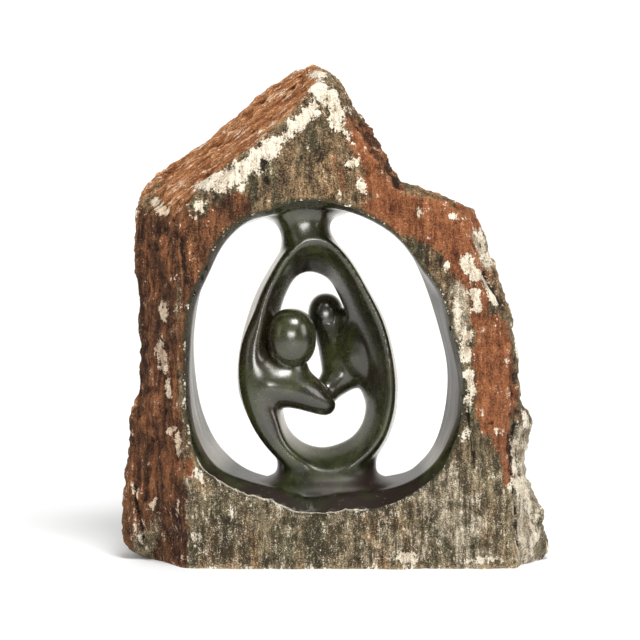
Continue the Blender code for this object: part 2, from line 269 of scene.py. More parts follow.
@dataclass(frozen=True)
class Streak:
    """A soft stripe on the front of the block, from place to place, in shares of its height."""

    start: Pair
    end: Pair
    width: float
    strength: float = 1.0

    def cover(self, points: np.ndarray, height: float) -> np.ndarray:
        """How much the stripe covers each point, from 0 to its strength.

        Args:
            points: one row for each point, in metres.
            height: the block's height.

        Returns:
            The strength on the line, falling off to nothing beside it.
        """
        start, run = np.array(self.start), np.subtract(self.end, self.start)
        places = points[:, (0, 2)] / height
        along = np.clip((places - start) @ run / max(run @ run, TINY), 0.0, 1.0)
        away = places - start - along[:, None] * run
        return self.strength * np.exp(-(away ** 2).sum(axis=1) / self.width ** 2)


def streaks(*rows: tuple[float, ...]) -> tuple[Streak, ...]:
    """Streaks from rows of (start x, start z, end x, end z, width), some with a strength as well."""
    return tuple(Streak(tuple(row[:2]), tuple(row[2:4]), *row[4:]) for row in rows)


def most_cover(lines: tuple[Streak, ...], points: np.ndarray, height: float) -> np.ndarray:
    """The most that any of these streaks covers each point."""
    return np.max([line.cover(points, height) for line in lines], axis=0)


def vectors(items: bpy.types.bpy_prop_collection, name: str = "co") -> np.ndarray:
    """One vector of each item of a mesh.

    Args:
        items: the mesh's vertices.
        name: which of their vectors.

    Returns:
        One row for each item.
    """
    values = np.empty(len(items) * 3, np.float32)
    items.foreach_get(name, values)
    return values.reshape(-1, 3).astype(float)


@dataclass(frozen=True)
class Slope:
    """A part of the front face that falls back, from a place and along a direction."""

    place: Pair
    along: Pair
    fall: float


@dataclass
class RoughBlock:
    """The uncarved block, with the broken skin of the natural stone.

    Outlines are clockwise from the lower left, in shares of the block's height. The front edge's
    third value is how far behind the front the side face ends, in shares of the block's depth.
    """

    height: float = 0.360
    depth: float = 0.104
    centre: Pair = (0.0, 0.400)
    back_share: float = 0.92
    back_run: float = 0.20
    grain: float = 0.0016
    triangles: int = 138000
    section_points: int = 288
    bump_length: float = 0.040
    bump_height: float = 0.0035
    chip_length: float = 0.014
    chip_height: float = 0.0016
    chip_level: float = 0.25
    streak_lengths: Triple = (0.0060, 0.0060, 0.0400)
    streak_height: float = 0.00055
    groove_lengths: Triple = (0.034, 0.006, 0.006)
    groove_lie: Pair = (0.83, 0.56)
    groove_height: float = 0.0011
    step_length: float = 0.0170
    step_shift: Triple = (3.1, 0.0, 7.7)
    step_tread: float = 0.34
    step_heights: Triple = (0.0015, 0.0008, 0.0018)
    pit_length: float = 0.0060
    pit_level: float = 0.25
    pit_depth: float = 0.0018
    silhouette: Rows = (
        (-0.376, 0.004), (-0.421, 0.025), (-0.431, 0.057), (-0.427, 0.139), (-0.415, 0.278),
        (-0.396, 0.334), (-0.398, 0.371), (-0.392, 0.434), (-0.405, 0.603), (-0.406, 0.683),
        (-0.397, 0.730), (-0.364, 0.783), (-0.303, 0.824), (-0.242, 0.872), (-0.194, 0.922),
        (-0.137, 0.971), (-0.079, 1.007), (-0.032, 1.000), (0.000, 0.970), (0.034, 0.918),
        (0.069, 0.868), (0.102, 0.803), (0.129, 0.761), (0.178, 0.742), (0.227, 0.723),
        (0.272, 0.708), (0.298, 0.667), (0.319, 0.580), (0.349, 0.501), (0.345, 0.467),
        (0.367, 0.414), (0.370, 0.325), (0.395, 0.284), (0.390, 0.247), (0.375, 0.215),
        (0.384, 0.163), (0.421, 0.107), (0.430, 0.024), (0.415, 0.001), (0.395, -0.050),
        (-0.350, -0.050),
    )
    front_edge: Rows = (
        (-0.300, -0.050, 0.42), (-0.289, 0.097, 0.42), (-0.291, 0.233, 0.40), (-0.303, 0.331, 0.38),
        (-0.309, 0.447, 0.36), (-0.309, 0.564, 0.36), (-0.305, 0.659, 0.40), (-0.273, 0.737, 0.60),
        (-0.193, 0.791, 0.66), (-0.142, 0.834, 0.66), (-0.096, 0.879, 0.66), (-0.057, 0.920, 0.60),
        (-0.032, 0.951, 0.40), (-0.012, 0.939, 0.25), (0.050, 0.853, 0.14), (0.083, 0.789, 0.12),
        (0.114, 0.745, 0.10), (0.223, 0.710, 0.08), (0.254, 0.692, 0.10), (0.283, 0.601, 0.15),
        (0.320, 0.494, 0.12), (0.341, 0.406, 0.10), (0.343, 0.350, 0.14), (0.338, 0.300, 0.26),
        (0.334, 0.183, 0.32), (0.345, 0.076, 0.35), (0.360, -0.050, 0.35),
    )
    slopes: tuple[Slope, ...] = (
        Slope((0.110, 0.560), (0.75, 0.66), 0.16),
        Slope((-0.050, 0.760), (0.00, 1.00), 0.14),
        Slope((0.300, 0.200), (1.00, 0.10), 0.20),
    )
    cracks: tuple[Streak, ...] = streaks(
        (0.293, 0.578, 0.334, 0.505, 0.0045), (0.352, 0.278, 0.345, 0.190, 0.0038),
        (0.345, 0.190, 0.364, 0.040, 0.0038), (-0.407, 0.155, -0.385, 0.040, 0.0036),
        (-0.141, 0.796, -0.133, 0.752, 0.0040), (0.108, 0.797, 0.120, 0.752, 0.0100),
        (0.259, 0.300, 0.270, 0.200, 0.0026), (-0.300, 0.640, -0.290, 0.560, 0.0040),
    )
    crack_depth: float = 0.0022
    # The front edges that are rubbed down and softened.
    wear_and_painted_reflection: tuple[Streak, ...] = streaks(
        (-0.299, -0.050, -0.290, 0.233, 0.030), (-0.290, 0.233, -0.309, 0.564, 0.030),
        (-0.309, 0.564, -0.273, 0.737, 0.030), (-0.273, 0.737, -0.057, 0.920, 0.022),
        (0.338, 0.300, 0.334, 0.183, 0.020), (0.334, 0.183, 0.360, -0.050, 0.020),
        (-0.057, 0.920, 0.050, 0.853, 0.016), (0.254, 0.692, 0.320, 0.494, 0.016),
    )
    wear_turns: int = 30
    wear_level: float = 0.35
    wear_front: float = 0.2

    def section(self, rows: np.ndarray, depths: float | np.ndarray) -> list[Vector]:
        """Rows of shares as points, at one depth or at one each."""
        levels = np.broadcast_to(depths, len(rows))
        return [Vector((x * self.height, y, z * self.height)) for (x, z), y in zip(rows[:, :2], levels)]

    def body(self) -> bpy.types.Object:
        """The plain block, remeshed to the grain of the skin.

        Returns:
            The block's object.
        """
        outline = by_angle(straight_loop(self.silhouette), self.centre, self.section_points)
        edge = by_angle(straight_loop(self.front_edge), self.centre, self.section_points)
        back = np.array(self.centre) + (outline - self.centre) * self.back_share
        face = self.depth / 2
        bm = bmesh.new()
        loft(bm, [
            self.section(edge, -face),
            self.section(outline, -face + edge[:, 2] * self.depth),
            self.section(outline, face - self.back_run * self.depth),
            self.section(back, face),
        ])
        split_caps(bm)
        block = finished(bm, "block")
        modify(block, "REMESH", mode="VOXEL", voxel_size=self.grain)
        return settle(block)

    def fall_back(self, point: Vector) -> float:
        """How far the front face's slopes push a point of it back.

        Args:
            point: the point.

        Returns:
            The way to the back, in metres.
        """
        total = 0.0
        for slope in self.slopes:
            ahead = ((point.x - slope.place[0] * self.height) * slope.along[0]
                     + (point.z - slope.place[1] * self.height) * slope.along[1])
            total += slope.fall * max(0.0, ahead)
        return total

    def relief(self, point: Vector, normal: Vector) -> float:
        """How far the skin stands out at a point.

        Args:
            point: the point on the plain block.
            normal: the block's normal there.

        Returns:
            The height of the bumps, chips, streaks and broken steps, in metres.
        """
        bump = noise.noise(point / self.bump_length) * self.bump_height
        chip = (abs(noise.noise(point / self.chip_length)) - self.chip_level) * self.chip_height
        facing = normal.x * SLOPE_FACING[0] + normal.z * SLOPE_FACING[1]
        slope = min(1.0, max(0.0, facing - 0.25) * 2.0)
        crumble = min(1.0, max(0.0, normal.x - 0.3) * 2.0)
        upright = max(0.0, 1.0 - abs(normal.z) * 1.6)
        lines = noise.fractal(self.shares(point, self.streak_lengths), 0.9, 2.1, 3)
        near, far = self.groove_lie
        along = Vector((point.x * near + point.z * far, point.y, -point.x * far + point.z * near))
        grooves = noise.fractal(self.shares(along, self.groove_lengths), 0.9, 2.0, 3)
        broken = noise.fractal(point / self.step_length + Vector(self.step_shift), 0.9, 2.1, 4)
        plain, sloping, crumbling = self.step_heights
        step = self.terrace(broken, self.step_tread) * (plain + sloping * slope + crumbling * crumble)
        pitted = noise.fractal(point / self.pit_length, 0.8, 2.2, 3) + self.pit_level
        pits = min(0.0, pitted) * self.pit_depth
        return (bump - chip + lines * self.streak_height * upright + grooves * self.groove_height * slope
                + step + pits)

    @staticmethod
    def shares(point: Vector, lengths: Triple) -> Vector:
        """A point in shares of one length along each axis."""
        return Vector([value / length for value, length in zip(point, lengths)])

    @staticmethod
    def terrace(value: float, tread: float) -> float:
        """Draw a value into steps with steep risers, as stone breaks along its layers.

        Args:
            value: the value.
            tread: how much of it each step takes up.

        Returns:
            The stepped value.
        """
        level, part = divmod(value, tread)
        rise = min(1.0, max(0.0, (part / tread - 0.35) / 0.30))
        return (level + rise * rise * (3 - 2 * rise)) * tread

    def roughen(self, block: bpy.types.Object) -> None:
        """Give the block its rubbed edges, its slopes, its broken skin and its cracks.

        Args:
            block: the plain block.
        """
        points = vectors(block.data.vertices)
        cracks = most_cover(self.cracks, points, self.height) * (points[:, 1] < 0.0) * self.crack_depth
        wear_and_painted_reflection = most_cover(self.wear_and_painted_reflection, points, self.height) > self.wear_level
        wear_and_painted_reflection &= points[:, 1] < -self.wear_front * self.depth
        bm = bmesh.new()
        bm.from_mesh(block.data)
        soft = [vert for vert, flag in zip(bm.verts, wear_and_painted_reflection) if flag]
        for _ in range(self.wear_turns):
            bmesh.ops.smooth_vert(bm, verts=soft, factor=0.5,
                                  use_axis_x=True, use_axis_y=True, use_axis_z=True)
        bm.normal_update()
        moves = []
        for vert, crack in zip(bm.verts, cracks):
            frontness = min(1.0, max(0.0, 0.5 - vert.co.y / self.depth))
            shift = Vector((0.0, self.fall_back(vert.co) * frontness, 0.0))
            moves.append(vert.normal * (self.relief(vert.co, vert.normal) - crack) + shift)
        for vert, move in zip(bm.verts, moves):
            vert.co += move
        bm.to_mesh(block.data)
        bm.free()

    def plain_base(self, block: bpy.types.Object) -> None:
        """Cut the block off at the ground and close it there.

        Args:
            block: the roughened block.
        """
        bm = bmesh.new()
        bm.from_mesh(block.data)
        geometry = bm.verts[:] + bm.edges[:] + bm.faces[:]
        cut = bmesh.ops.bisect_plane(bm, geom=geometry, plane_co=(0, 0, 0), plane_no=(0, 0, 1),
                                     clear_inner=True)["geom_cut"]
        rim = [item for item in cut if isinstance(item, bmesh.types.BMEdge)]
        bmesh.ops.contextual_create(bm, geom=rim)
        split_caps(bm)
        bmesh.ops.recalc_face_normals(bm, faces=bm.faces)
        bm.to_mesh(block.data)
        bm.free()

    def build(self) -> bpy.types.Object:
        """Build the block with its flat underside.

        Returns:
            The block's object.
        """
        block = self.body()
        self.roughen(block)
        block = thinned(block, self.triangles)
        self.plain_base(block)
        return block


# The opening and what stands in it


@dataclass(frozen=True)
class Opening:
    """The egg-shaped opening, which everything carved is measured from, in shares of its height."""

    height: float = 0.218
    centre: Pair = (-0.0075, 0.148)
    block_depth: float = 0.104
    side_chamfer: float = 0.0028
    sill_chamfer: float = 0.0100
    chamfer_run: float = 0.0100
    section_points: int = 240
    rim: Rows = (
        (-0.079, 0.500), (0.050, 0.490), (0.156, 0.453), (0.250, 0.388), (0.322, 0.292),
        (0.384, 0.200), (0.416, 0.072), (0.444, -0.060), (0.446, -0.140), (0.436, -0.217),
        (0.381, -0.346), (0.297, -0.426), (0.185, -0.471), (0.040, -0.492), (-0.063, -0.500),
        (-0.166, -0.465), (-0.272, -0.426), (-0.368, -0.371), (-0.426, -0.265), (-0.447, -0.130),
        (-0.447, 0.024), (-0.431, 0.169), (-0.387, 0.275), (-0.333, 0.378), (-0.256, 0.449),
        (-0.169, 0.474),
    )
    back_wall: Rows = (
        (-0.235, 0.470), (-0.085, 0.498), (0.097, 0.512), (0.215, 0.476), (0.293, 0.369),
        (0.346, 0.262), (0.398, 0.103), (0.429, -0.037), (0.425, -0.167), (0.393, -0.293),
        (0.337, -0.373), (0.252, -0.419), (-0.015, -0.440), (-0.235, -0.415), (-0.358, -0.328),
        (-0.424, -0.202), (-0.452, -0.054), (-0.454, 0.093), (-0.421, 0.261), (-0.344, 0.408),
    )

    def place(self, x: float, z: float, y: float) -> Vector:
        """A point from its shares of the opening's height, at a depth in metres."""
        return Vector((self.centre[0] + x * self.height, y, self.centre[1] + z * self.height))

    def drawn_in(self, loop: np.ndarray, y: float, amount: float) -> list[Vector]:
        """One section of the opening, drawn in towards its centre, most at the sill.

        Args:
            loop: the section's outline.
            y: its depth.
            amount: how many times the chamfer it is drawn in.

        Returns:
            The section's points.
        """
        points = []
        for x, z in loop[:, :2]:
            length = math.hypot(x, z)
            sill = max(0.0, -z / length) ** 3
            drawn = amount * (self.side_chamfer + (self.sill_chamfer - self.side_chamfer) * sill)
            share = 1 - drawn / (length * self.height)
            points.append(self.place(x * share, z * share, y))
        return points

    def build(self) -> bpy.types.Object:
        """Build the tunnel through the block, chamfered at both faces.

        Returns:
            The tunnel's object.
        """
        rim, wall = (by_angle(smooth_loop(line), (0.0, 0.0), self.section_points)
                     for line in (self.rim, self.back_wall))
        face, run = self.block_depth / 2, self.chamfer_run
        bm = bmesh.new()
        loft(bm, [
            self.drawn_in(rim, -face - 2 * run, -2), self.drawn_in(rim, -face, 0),
            self.drawn_in(rim, -face + run, 1), self.drawn_in(wall, face - run, 0),
            self.drawn_in(wall, face, -1), self.drawn_in(wall, face + 2 * run, -3),
        ])
        bmesh.ops.triangulate(bm, faces=bm.faces)
        return finished(bm, "opening")


@dataclass(frozen=True)
class Limb:
    """A tapering round limb, as rows of (x, z, depth share, radius)."""

    rows: Rows


@dataclass(frozen=True)
class Head:
    """A plain head: its centre (x, z), its depth share, and its half width, thickness and height."""

    centre: Pair
    depth: float
    halves: Triple
    squareness: float = 2.25

    def build(self, name: str, opening: Opening, figure_depth: float) -> bpy.types.Object:
        """Build the head as an oval drawn out a little towards a box.

        Args:
            name: the object's name.
            opening: the opening that it is measured from.
            figure_depth: the ring's depth.

        Returns:
            The head's object.
        """
        bm = bmesh.new()
        bmesh.ops.create_icosphere(bm, subdivisions=5, radius=1.0)
        middle = opening.place(*self.centre, self.depth * figure_depth)
        for vert in bm.verts:
            total = sum(abs(value) ** self.squareness for value in vert.co)
            side = vert.co / total ** (1 / self.squareness) * opening.height
            vert.co = middle + side * Vector(self.halves)
        for surface in bm.faces:
            surface.material_index = Skin.POLISHED.value
        return finished(bm, name)


@dataclass
class Figures:
    """The ring, the two bodies on it, the neck above it and the foot below it."""

    opening: Opening
    depth: float = 0.064
    grain: float = 0.0014
    figure_smoothing: int = 46
    space_smoothing: int = 9
    triangles: int = 78000
    ring_centre: Pair = (-0.020, -0.030)
    back_ridge_share: float = 0.20
    fullness: Pair = (0.84, 0.58)
    tube_resolution: int = 10
    post_points: int = 96
    post_roundness: float = 0.68
    weld_distance: float = 1e-6
    section_points: int = 240
    outer_line: Rows = (
        (-0.055, 0.406), (0.009, 0.400), (0.081, 0.338), (0.149, 0.225), (0.204, 0.121),
        (0.239, -0.011), (0.250, -0.116), (0.240, -0.212), (0.194, -0.316), (0.108, -0.396),
        (0.002, -0.423), (-0.093, -0.399), (-0.178, -0.327), (-0.242, -0.245), (-0.287, -0.143),
        (-0.296, -0.055), (-0.283, 0.053), (-0.244, 0.185), (-0.194, 0.284), (-0.133, 0.370),
    )
    front_ridge: Rows = (
        (-0.054, 0.379), (0.012, 0.381), (0.087, 0.297), (0.156, 0.174), (0.201, 0.055),
        (0.218, -0.076), (0.208, -0.180), (0.175, -0.272), (0.090, -0.354), (-0.011, -0.369),
        (-0.080, -0.334), (-0.130, -0.282), (-0.155, -0.207), (-0.185, -0.141), (-0.218, -0.076),
        (-0.224, 0.006), (-0.208, 0.101), (-0.191, 0.186), (-0.138, 0.298), (-0.090, 0.361),
    )
    waist: Rows = (
        (-0.047, 0.278), (0.010, 0.254), (0.046, 0.196), (0.076, 0.118), (0.110, 0.036),
        (0.136, -0.065), (0.133, -0.190), (0.102, -0.257), (0.047, -0.291), (-0.019, -0.303),
        (-0.086, -0.277), (-0.127, -0.225), (-0.140, -0.155), (-0.161, -0.065), (-0.164, 0.036),
        (-0.142, 0.156), (-0.121, 0.217), (-0.092, 0.262),
    )
    limbs: tuple[Limb, ...] = (
        Limb(((-0.220, 0.140, -0.37, 0.018), (-0.234, 0.085, -0.35, 0.030),
              (-0.241, 0.025, -0.32, 0.045), (-0.234, -0.045, -0.30, 0.056), (-0.226, -0.110, -0.30, 0.060),
              (-0.207, -0.190, -0.32, 0.052), (-0.181, -0.252, -0.34, 0.044),
              (-0.142, -0.312, -0.37, 0.034), (-0.096, -0.364, -0.40, 0.025))),
        Limb(((-0.180, -0.098, -0.27, 0.076), (-0.121, -0.104, -0.28, 0.065),
              (-0.061, -0.124, -0.27, 0.058), (-0.018, -0.152, -0.25, 0.047),
              (0.003, -0.162, -0.22, 0.040))),
        Limb(((-0.121, 0.021, -0.20, 0.053), (-0.112, -0.070, -0.19, 0.068))),
        Limb(((-0.125, -0.085, -0.23, 0.072), (-0.080, -0.096, -0.23, 0.060),
              (-0.038, -0.121, -0.22, 0.050))),
        Limb(((-0.205, -0.060, -0.22, 0.080), (-0.150, -0.092, -0.22, 0.078),
              (-0.108, -0.100, -0.22, 0.069))),
        Limb(((0.100, 0.189, 0.04, 0.030), (0.128, 0.104, 0.04, 0.050), (0.141, 0.018, 0.04, 0.061),
              (0.148, -0.045, 0.06, 0.058), (0.192, -0.152, 0.10, 0.046), (0.186, -0.261, 0.16, 0.036))),
        Limb(((0.098, 0.124, 0.18, 0.044), (0.108, 0.070, 0.12, 0.062), (0.116, 0.000, 0.08, 0.070),
              (0.122, -0.040, 0.12, 0.060))),
        Limb(((0.062, 0.130, 0.30, 0.040), (0.078, 0.070, 0.28, 0.062), (0.092, 0.000, 0.24, 0.075),
              (0.104, -0.045, 0.22, 0.066))),
        Limb(((0.118, -0.043, 0.22, 0.061), (0.050, -0.066, 0.20, 0.062), (0.015, -0.102, 0.13, 0.056),
              (0.006, -0.134, 0.04, 0.041))),
        Limb(((0.009, 0.104, 0.30, 0.053), (0.038, 0.036, 0.28, 0.060), (0.054, -0.020, 0.24, 0.070))),
    )
    heads: tuple[Head, ...] = (
        Head((-0.110, 0.061), -0.31, (0.082, 0.084, 0.098)),
        Head((0.005, 0.133), 0.36, (0.062, 0.070, 0.080)),
    )
    top_neck: Rows = (
        (0.310, -0.110, 0.050, 0.030), (0.345, -0.145, 0.060, 0.085), (0.374, -0.146, 0.047, 0.128),
        (0.404, -0.143, 0.026, 0.134), (0.431, -0.153, 0.016, 0.130), (0.451, -0.168, 0.016, 0.130),
        (0.471, -0.213, 0.039, 0.136), (0.488, -0.287, 0.096, 0.148), (0.525, -0.400, 0.220, 0.170),
        (0.600, -0.420, 0.300, 0.180),
    )
    foot: Rows = (
        (-0.320, -0.120, 0.120, 0.030), (-0.345, -0.160, 0.178, 0.085), (-0.372, -0.156, 0.171, 0.140),
        (-0.395, -0.162, 0.176, 0.151), (-0.409, -0.187, 0.198, 0.157), (-0.422, -0.237, 0.248, 0.172),
        (-0.450, -0.330, 0.330, 0.188), (-0.486, -0.355, 0.359, 0.190), (-0.560, -0.400, 0.390, 0.200),
    )

    def ring(self) -> bpy.types.Object:
        """The ring, bridged round through its outer line, front ridge, waist and back ridge.

        The stone between these lines is full and rounded, not flat.

        Returns:
            The ring's object.
        """
        outer, ridge, waist = (by_angle(smooth_loop(line), self.ring_centre, self.section_points)
                               for line in (self.outer_line, self.front_ridge, self.waist))
        back = outer + (waist - outer) * self.back_ridge_share
        half = self.depth / 2
        outside, inside = (-half * share for share in self.fullness)
        lines = ((outer, 0.0), ((outer + ridge) / 2, outside), (ridge, -half),
                 ((ridge + waist) / 2, inside), (waist, 0.0), (back, half))
        bm = bmesh.new()
        loft(bm, [[self.opening.place(x, z, y) for x, z in line] for line, y in lines], closed=True)
        return finished(bm, "ring")

    def post(self, name: str, rows: Rows) -> bpy.types.Object:
        """A flared post that joins the ring to the stone.

        Args:
            name: the object's name.
            rows: (z, left x, right x, half depth) for each section.

        Returns:
            The post's object.
        """
        angles = np.arange(self.post_points) * 2 * math.pi / self.post_points
        wide, deep = (np.sign(wave) * np.abs(wave) ** self.post_roundness
                      for wave in (np.cos(angles), np.sin(angles)))
        sections = []
        for z, left, right, half in rows:
            xs = (left + right) / 2 + (right - left) / 2 * wide
            sections.append([self.opening.place(x, z, half * y * self.opening.height)
                             for x, y in zip(xs, deep)])
        bm = bmesh.new()
        loft(bm, sections)
        return finished(bm, name)

    def limb(self, name: str, limb: Limb) -> list[bpy.types.Object]:
        """A limb's tube, and a ball on each end of it.

        Args:
            name: the objects' name.
            limb: the limb's rows.

        Returns:
            The three objects.
        """
        curve = bpy.data.curves.new(name, "CURVE")
        curve.dimensions = "3D"
        curve.bevel_depth = 1.0
        curve.bevel_resolution = self.tube_resolution
        curve.use_fill_caps = True
        spline = curve.splines.new("NURBS")
        spline.points.add(len(limb.rows) - 1)
        spline.order_u = min(4, len(limb.rows))
        spline.use_endpoint_u = True
        for point, (x, z, depth, radius) in zip(spline.points, limb.rows):
            point.co = (*self.opening.place(x, z, depth * self.depth), 1.0)
            point.radius = radius * self.opening.height
        tube = bpy.data.objects.new(name, curve)
        bpy.context.scene.collection.objects.link(tube)
        made = [settle(tube)]
        for x, z, depth, radius in (limb.rows[0], limb.rows[-1]):
            bm = bmesh.new()
            centre = self.opening.place(x, z, depth * self.depth)
            bmesh.ops.create_icosphere(bm, subdivisions=4, radius=radius * self.opening.height,
                                       matrix=Matrix.Translation(centre))
            made.append(finished(bm, name))
        return made

    def build(self) -> bpy.types.Object:
        """Build ring, limbs and posts as one closed mesh.

        Returns:
            The mesh's object.
        """
        pieces = [self.ring(), self.post("top_neck", self.top_neck), self.post("foot", self.foot)]
        for number, limb in enumerate(self.limbs):
            pieces += self.limb(f"limb_{number}", limb)
        bm = bmesh.new()
        for piece in pieces:
            bm.from_mesh(piece.data)
            bpy.data.objects.remove(piece)
        bmesh.ops.remove_doubles(bm, verts=bm.verts, dist=self.weld_distance)
        bodies = finished(bm, "figures")
        modify(bodies, "REMESH", mode="VOXEL", voxel_size=self.grain)
        modify(bodies, "SMOOTH", factor=0.5, iterations=self.figure_smoothing)
        return settle(bodies)

    def space(self) -> bpy.types.Object:
        """Build the space that the carver emptied round the figures.

        Returns:
            The space as a closed mesh, all of it polished.
        """
        space = combine(self.opening.build(), self.build(), Joining.CUT)
        modify(space, "REMESH", mode="VOXEL", voxel_size=self.grain)
        modify(space, "SMOOTH", factor=0.5, iterations=self.space_smoothing)
        space = thinned(settle(space), self.triangles)
        for surface in space.data.polygons:
            surface.material_index = Skin.POLISHED.value
        return space


# Colour zones of the rough skin


def ramp(values: np.ndarray, start: float, steepness: float) -> np.ndarray:
    """Values drawn out from 0 at a start, and held between 0 and 1."""
    return np.clip((values - start) * steepness, 0.0, 1.0)


@dataclass
class SkinZones:
    """Where the rough skin is rusty, pale, grey or dark, kept as values on the mesh's points."""

    height: float = 0.360
    normal_smoothing: int = 14
    hollow_smoothing: int = 2
    rim_reach: float = 0.006
    wall_reach: float = 0.020
    fade: float = 0.05
    flank_from: float = 0.36
    slope_from: float = 0.60
    wall_from: float = 0.60
    wall_fullness: float = 2.5
    hollow_fullness: float = 4.0
    pale: tuple[Streak, ...] = streaks(
        (-0.262, 0.746, -0.225, 0.760, 0.014), (-0.219, 0.751, -0.178, 0.773, 0.021, 1.1),
        (-0.165, 0.786, -0.122, 0.816, 0.019, 1.1), (-0.122, 0.820, -0.083, 0.855, 0.014),
        (-0.083, 0.859, -0.040, 0.898, 0.016, 1.1), (-0.046, 0.986, -0.030, 0.974, 0.012),
        (-0.024, 0.940, 0.007, 0.898, 0.018), (0.003, 0.890, 0.005, 0.866, 0.014),
        (0.028, 0.790, 0.046, 0.794, 0.010, 1.1), (0.052, 0.751, 0.054, 0.736, 0.007, 0.8),
        (0.019, 0.859, 0.034, 0.835, 0.006, 0.7), (-0.361, 0.725, -0.337, 0.703, 0.013),
        (-0.263, 0.709, -0.255, 0.691, 0.008, 0.8), (-0.339, 0.514, -0.333, 0.492, 0.010),
        (-0.343, 0.434, -0.337, 0.392, 0.012), (-0.327, 0.364, -0.323, 0.336, 0.007),
        (-0.325, 0.264, -0.309, 0.274, 0.006), (-0.307, 0.260, -0.305, 0.219, 0.006),
        (-0.363, 0.113, -0.355, 0.129, 0.005), (-0.307, 0.127, -0.307, 0.099, 0.005),
        (-0.389, 0.049, -0.383, 0.025, 0.005), (-0.407, 0.155, -0.397, 0.129, 0.004, 0.8),
        (-0.268, 0.065, -0.266, 0.032, 0.010, 0.9), (-0.270, 0.199, -0.256, 0.168, 0.005),
        (0.168, 0.706, 0.168, 0.690, 0.006), (0.225, 0.688, 0.235, 0.688, 0.005, 0.9),
        (0.288, 0.658, 0.304, 0.599, 0.010, 0.9), (0.219, 0.595, 0.219, 0.585, 0.006),
        (0.257, 0.599, 0.277, 0.571, 0.016), (0.275, 0.540, 0.277, 0.508, 0.010),
        (0.296, 0.563, 0.316, 0.518, 0.008), (0.237, 0.524, 0.245, 0.480, 0.010, 0.9),
        (0.259, 0.456, 0.255, 0.413, 0.013, 1.1), (0.261, 0.381, 0.271, 0.342, 0.008),
        (0.261, 0.326, 0.261, 0.263, 0.008, 0.7), (0.360, 0.445, 0.364, 0.413, 0.006, 0.8),
        (0.379, 0.296, 0.383, 0.271, 0.010, 0.8), (0.352, 0.247, 0.360, 0.168, 0.010, 0.8),
        (0.360, 0.164, 0.379, 0.136, 0.016), (0.387, 0.128, 0.401, 0.029, 0.016, 0.8),
        (0.249, 0.016, 0.315, 0.020, 0.006), (0.136, 0.022, 0.153, 0.022, 0.014, 1.1),
    )
    rust: tuple[Streak, ...] = streaks(
        (0.106, 0.692, 0.259, 0.666, 0.055), (0.239, 0.652, 0.269, 0.603, 0.036),
        (0.288, 0.583, 0.284, 0.484, 0.024), (0.308, 0.464, 0.328, 0.326, 0.040, 1.1),
        (0.292, 0.421, 0.308, 0.286, 0.030), (0.328, 0.286, 0.344, 0.168, 0.016, 1.1),
        (0.312, 0.310, 0.334, 0.240, 0.025), (0.230, 0.610, 0.262, 0.560, 0.030, 0.8),
        (0.079, 0.751, 0.114, 0.718, 0.028), (0.034, 0.874, 0.085, 0.738, 0.027, 0.7),
        (0.001, 0.796, 0.021, 0.738, 0.016, 0.5), (-0.282, 0.207, -0.280, 0.186, 0.012),
        (-0.337, 0.645, -0.325, 0.584, 0.010, 0.7),
    )
    grey: tuple[Streak, ...] = streaks(
        (0.387, 0.247, 0.393, 0.019, 0.034), (0.288, 0.646, 0.304, 0.599, 0.016, 0.9),
        (0.239, 0.543, 0.249, 0.464, 0.016, 0.9), (0.190, 0.168, 0.269, 0.029, 0.059, 0.42),
        (0.080, 0.050, 0.170, 0.050, 0.050, 0.25),
    )
    dark: tuple[Streak, ...] = streaks(
        (-0.375, 0.640, -0.370, 0.690, 0.030, 0.4), (-0.028, 0.816, -0.024, 0.761, 0.010, 0.9),
        (-0.106, 0.796, -0.098, 0.738, 0.016, 0.6), (-0.141, 0.796, -0.135, 0.757, 0.010, 0.6),
        (0.110, 0.793, 0.118, 0.757, 0.016, 0.9), (-0.233, 0.669, -0.213, 0.708, 0.016, 0.6),
        (-0.306, 0.600, -0.300, 0.670, 0.030, 0.5),
    )
    brown: tuple[Streak, ...] = streaks(
        (-0.270, 0.420, -0.262, 0.640, 0.040), (-0.262, 0.640, -0.190, 0.700, 0.034),
        (0.070, 0.860, 0.110, 0.740, 0.030, 0.9), (-0.330, 0.600, -0.330, 0.700, 0.040),
        (-0.300, 0.600, -0.296, 0.670, 0.040),
    )
    bruise: tuple[Streak, ...] = streaks(
        (-0.264, 0.211, -0.211, 0.166, 0.018), (-0.211, 0.166, -0.089, 0.114, 0.018),
        (-0.089, 0.114, 0.056, 0.116, 0.018),
    )

    @staticmethod
    def spread(values: np.ndarray, edges: np.ndarray, turns: int) -> np.ndarray:
        """Average each point's values with its neighbours', again and again.

        Args:
            values: one row for each point.
            edges: the mesh's edges as pairs of points.
            turns: how often it is done.

        Returns:
            The smoothed rows.
        """
        for _ in range(turns):
            total = values.copy()
            np.add.at(total, edges[:, 0], values[edges[:, 1]])
            np.add.at(total, edges[:, 1], values[edges[:, 0]])
            values = total / (1 + np.bincount(edges.ravel(), minlength=len(values)))[:, None]
        return values

    def hollows(self, points: np.ndarray, normals: np.ndarray, edges: np.ndarray) -> np.ndarray:
        """How hollow the skin is at each point.

        Args:
            points: the places of the mesh's points.
            normals: its normals there.
            edges: its edges as pairs of points.

        Returns:
            Values above 0 in a crevice and below 0 on a ridge.
        """
        across = points[edges[:, 1]] - points[edges[:, 0]]
        across /= np.maximum(np.linalg.norm(across, axis=1), TINY)[:, None]
        bend = np.zeros((len(points), 1))
        np.add.at(bend, edges[:, 0], (across * normals[edges[:, 0]]).sum(axis=1)[:, None])
        np.add.at(bend, edges[:, 1], -(across * normals[edges[:, 1]]).sum(axis=1)[:, None])
        bend /= np.bincount(edges.ravel(), minlength=len(points))[:, None]
        return self.spread(bend, edges, self.hollow_smoothing)[:, 0] * self.hollow_fullness

